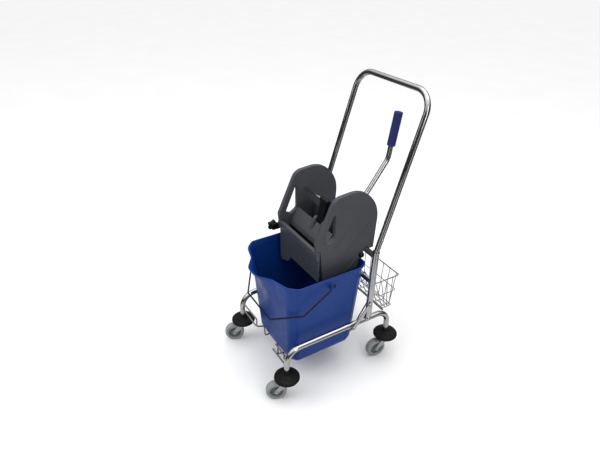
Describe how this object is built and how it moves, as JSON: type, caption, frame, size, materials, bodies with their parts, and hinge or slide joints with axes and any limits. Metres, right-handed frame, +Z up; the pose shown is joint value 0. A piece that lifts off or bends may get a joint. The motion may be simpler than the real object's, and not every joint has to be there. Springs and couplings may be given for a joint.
{
  "type": "mop and bucket with wringer",
  "caption": "Single-bucket mopping trolley: tube chassis on swivel castors, lift-out bucket with a bail, lever press wringer and a rear wire basket.",
  "frame": {"origin": "on the floor, at the centre of the bounding box's base", "axes": "+Z up, -Y towards the pouring spout, +Y towards the push handle, +X the trolley's right side, where the lever is"},
  "size_m": [0.4142, 0.5608, 0.958],
  "materials": {
    "chrome_tube": "polished chrome plate on steel tube and wire",
    "zinc_steel": "zinc-plated pressed steel",
    "blue_polypropylene": "blue moulded plastic, satin to gloss",
    "blue_grip": "ribbed blue plastic grip",
    "grey_polypropylene": "dark grey moulded plastic",
    "black_plastic": "black moulded plastic and coated wire",
    "black_rubber": "black moulded rubber",
    "grey_tyre": "grey non-marking rubber",
    "grey_hub": "grey moulded plastic hub"
  },
  "bodies": {
    "chassis": {"side_frame_left": "chrome_tube", "side_frame_right": "chrome_tube", "upright_left": "chrome_tube", "upright_right": "chrome_tube", "push_handle": "chrome_tube", "handle_screw_left": "zinc_steel", "handle_screw_right": "zinc_steel", "cross_tube_upper": "chrome_tube", "cross_tube_lower": "chrome_tube", "brace_left": "chrome_tube", "brace_right": "chrome_tube", "brace_bolt_lower_left": "zinc_steel", "brace_bolt_lower_right": "zinc_steel", "brace_bolt_upper_left": "zinc_steel", "brace_bolt_upper_right": "zinc_steel", "cradle_wire_left": "chrome_tube", "cradle_wire_right": "chrome_tube", "front_wire_upper_left": "chrome_tube", "front_wire_upper_right": "chrome_tube", "front_wire_lower_right": "chrome_tube", "cradle_cross_wire": "chrome_tube", "rear_rod": "chrome_tube", "bumper_front_left": "black_rubber", "bumper_front_right": "black_rubber", "bumper_rear_left": "black_rubber", "bumper_rear_right": "black_rubber"},
    "castor_front_left": {"castor_front_left_fork": "zinc_steel", "castor_front_left_axle": "zinc_steel"},
    "wheel_front_left": {"castor_front_left_tyre": "grey_tyre", "castor_front_left_hub": "grey_hub"},
    "castor_front_right": {"castor_front_right_fork": "zinc_steel", "castor_front_right_axle": "zinc_steel"},
    "wheel_front_right": {"castor_front_right_tyre": "grey_tyre", "castor_front_right_hub": "grey_hub"},
    "castor_rear_left": {"castor_rear_left_fork": "zinc_steel", "castor_rear_left_axle": "zinc_steel"},
    "wheel_rear_left": {"castor_rear_left_tyre": "grey_tyre", "castor_rear_left_hub": "grey_hub"},
    "castor_rear_right": {"castor_rear_right_fork": "zinc_steel", "castor_rear_right_axle": "zinc_steel"},
    "wheel_rear_right": {"castor_rear_right_tyre": "grey_tyre", "castor_rear_right_hub": "grey_hub"},
    "bucket": {"bucket": "blue_polypropylene"},
    "bail": {"bail": "black_plastic"},
    "wringer": {"cheek_left": "grey_polypropylene", "cheek_right": "grey_polypropylene", "front_wall": "grey_polypropylene", "sieve": "grey_polypropylene", "rear_wall": "grey_polypropylene", "clamp_lug": "black_plastic", "hook_screw": "black_plastic"},
    "lever": {"wringer_shaft": "chrome_tube", "crank_left": "black_plastic", "crank_right": "black_plastic", "lever_tube": "chrome_tube", "lever_grip": "blue_grip"},
    "press_plate": {"press_plate": "grey_polypropylene"},
    "push_link": {"push_link": "black_plastic"},
    "clamp_knob": {"clamp_knob": "black_plastic"},
    "wire_basket": {"wire_basket": "chrome_tube"}
  },
  "joints": [
    {"name": "castor_front_left_swivel", "type": "hinge", "parent": "chassis", "child": "castor_front_left", "pos_m": [-0.1646, -0.21228, 0.09], "axis": [0, 0, 1], "continuous": true},
    {"name": "wheel_front_left_spin", "type": "hinge", "parent": "castor_front_left", "child": "wheel_front_left", "pos_m": [-0.17924, -0.24517, 0.035], "axis": [0.9135, -0.4067, 0], "continuous": true},
    {"name": "castor_front_right_swivel", "type": "hinge", "parent": "chassis", "child": "castor_front_right", "pos_m": [0.1646, -0.21228, 0.09], "axis": [0, 0, 1], "continuous": true},
    {"name": "wheel_front_right_spin", "type": "hinge", "parent": "castor_front_right", "child": "wheel_front_right", "pos_m": [0.14996, -0.24517, 0.035], "axis": [0.9135, -0.4067, 0], "continuous": true},
    {"name": "castor_rear_left_swivel", "type": "hinge", "parent": "chassis", "child": "castor_rear_left", "pos_m": [-0.1646, 0.19372, 0.09], "axis": [0, 0, 1], "continuous": true},
    {"name": "wheel_rear_left_spin", "type": "hinge", "parent": "castor_rear_left", "child": "wheel_rear_left", "pos_m": [-0.17452, 0.15911, 0.035], "axis": [0.9613, -0.2756, 0], "continuous": true},
    {"name": "castor_rear_right_swivel", "type": "hinge", "parent": "chassis", "child": "castor_rear_right", "pos_m": [0.1646, 0.19372, 0.09], "axis": [0, 0, 1], "continuous": true},
    {"name": "wheel_rear_right_spin", "type": "hinge", "parent": "castor_rear_right", "child": "wheel_rear_right", "pos_m": [0.15897, 0.15816, 0.035], "axis": [0.9877, -0.1564, 0], "continuous": true},
    {"name": "bucket_lift", "type": "slide", "parent": "chassis", "child": "bucket", "axis": [0, 0, 1], "range_m": [0, 0.38]},
    {"name": "bail_swing", "type": "hinge", "parent": "bucket", "child": "bail", "pos_m": [0, -0.04628, 0.384], "axis": [-1, 0, 0], "range_deg": [0, 100]},
    {"name": "wringer_lift", "type": "slide", "parent": "bucket", "child": "wringer", "axis": [0, 0, 1], "range_m": [0, 0.16]},
    {"name": "lever_press", "type": "hinge", "parent": "wringer", "child": "lever", "pos_m": [0, 0.02272, 0.6], "axis": [1, 0, 0], "range_deg": [0, 65]},
    {"name": "plate_slide", "type": "slide", "parent": "wringer", "child": "press_plate", "axis": [0, -0.7431, -0.6691], "range_m": [0, 0.026]},
    {"name": "link_swing", "type": "hinge", "parent": "press_plate", "child": "push_link", "pos_m": [0, -0.00328, 0.546], "axis": [1, 0, 0], "range_deg": [-8.6, 0]},
    {"name": "knob_turn", "type": "hinge", "parent": "wringer", "child": "clamp_knob", "pos_m": [-0.138, -0.09128, 0.474], "axis": [-1, 0, 0], "continuous": true},
    {"name": "basket_lift", "type": "slide", "parent": "chassis", "child": "wire_basket", "axis": [0, 0.6, 0.8], "range_m": [0, 0.26]}
  ],
  "couplings": [
    {"joint": "plate_slide", "follows": "lever_press", "m_per_rad": 0.022635},
    {"joint": "link_swing", "follows": "lever_press", "ratio": -0.12854}
  ]
}
